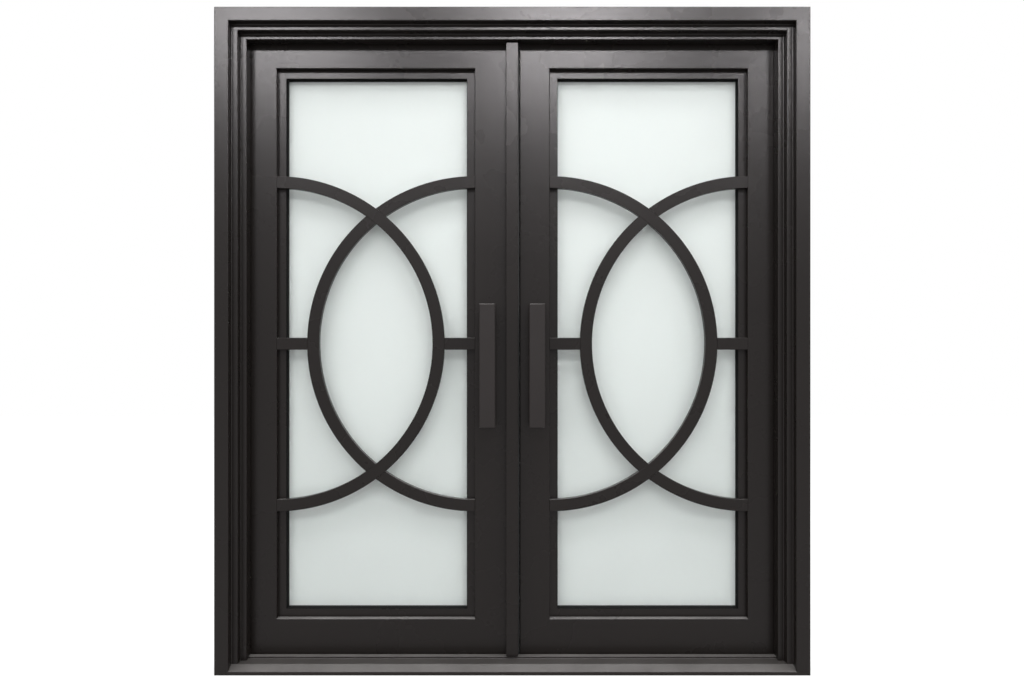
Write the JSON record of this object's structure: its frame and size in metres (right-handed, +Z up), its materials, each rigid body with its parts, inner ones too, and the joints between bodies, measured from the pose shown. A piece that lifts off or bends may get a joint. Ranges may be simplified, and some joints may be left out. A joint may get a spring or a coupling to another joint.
{
  "type": "french doors",
  "caption": "Painted steel french doors in a stepped frame with threshold, frosted glass, crossing half-circle grille bars and square pull handles.",
  "frame": {"origin": "underside of the threshold, mid-width, half way through the frame's depth", "axes": "+X to the right seen from outside, +Y into the building, +Z up"},
  "size_m": [1.829, 0.212, 2.05],
  "materials": {
    "paint": "satin dark bronze paint",
    "glass": "acid-etched, milky",
    "rubber": "matt black",
    "steel": "zinc plated",
    "spacer": "mill"
  },
  "bodies": {
    "frame": {"jamb_left": "paint", "jamb_right": "paint", "head": "paint", "threshold": "paint", "frame_seal_left": "rubber", "frame_seal_right": "rubber", "frame_seal_top": "rubber", "left_jamb_knuckles": "paint", "left_hinge_pins": "steel", "left_thrust_rings": "steel", "right_jamb_knuckles": "paint", "right_hinge_pins": "steel", "right_thrust_rings": "steel"},
    "left_leaf": {"left_hinge_stile": "paint", "left_meeting_stile": "paint", "left_top_rail": "paint", "left_bottom_rail": "paint", "left_glazing_flange": "paint", "left_glazing_beads": "paint", "left_grille_arc": "paint", "left_grille_cut_arc": "paint", "left_grille_ties": "paint", "left_outer_pull": "paint", "left_inner_pull": "paint", "left_pull_posts": "paint", "left_leaf_knuckles": "paint", "left_outer_pane": "glass", "left_inner_pane": "glass", "left_glass_spacer": "spacer", "left_glazing_rubber": "rubber", "left_sweep": "rubber", "left_pull_bolts": "steel", "cover_bar": "paint", "meeting_seal": "rubber", "bolt_plates": "steel"},
    "right_leaf": {"right_hinge_stile": "paint", "right_meeting_stile": "paint", "right_top_rail": "paint", "right_bottom_rail": "paint", "right_glazing_flange": "paint", "right_glazing_beads": "paint", "right_grille_arc": "paint", "right_grille_cut_arc": "paint", "right_grille_ties": "paint", "right_outer_pull": "paint", "right_inner_pull": "paint", "right_pull_posts": "paint", "right_leaf_knuckles": "paint", "right_outer_pane": "glass", "right_inner_pane": "glass", "right_glass_spacer": "spacer", "right_glazing_rubber": "rubber", "right_sweep": "rubber", "right_pull_bolts": "steel"},
    "top_bolt": {"top_flush_bolt": "steel"},
    "bottom_bolt": {"bottom_flush_bolt": "steel"}
  },
  "joints": [
    {"name": "left_leaf_swing", "type": "hinge", "parent": "frame", "child": "left_leaf", "pos_m": [-0.846, 0.085, 1], "axis": [0, 0, 1], "range_deg": [0, 110]},
    {"name": "right_leaf_swing", "type": "hinge", "parent": "frame", "child": "right_leaf", "pos_m": [0.846, 0.085, 1], "axis": [0, 0, -1], "range_deg": [0, 110]},
    {"name": "top_bolt_slide", "type": "slide", "parent": "left_leaf", "child": "top_bolt", "axis": [0, 0, 1], "range_m": [0, 0.014]},
    {"name": "bottom_bolt_slide", "type": "slide", "parent": "left_leaf", "child": "bottom_bolt", "axis": [0, 0, -1], "range_m": [0, 0.014]}
  ]
}
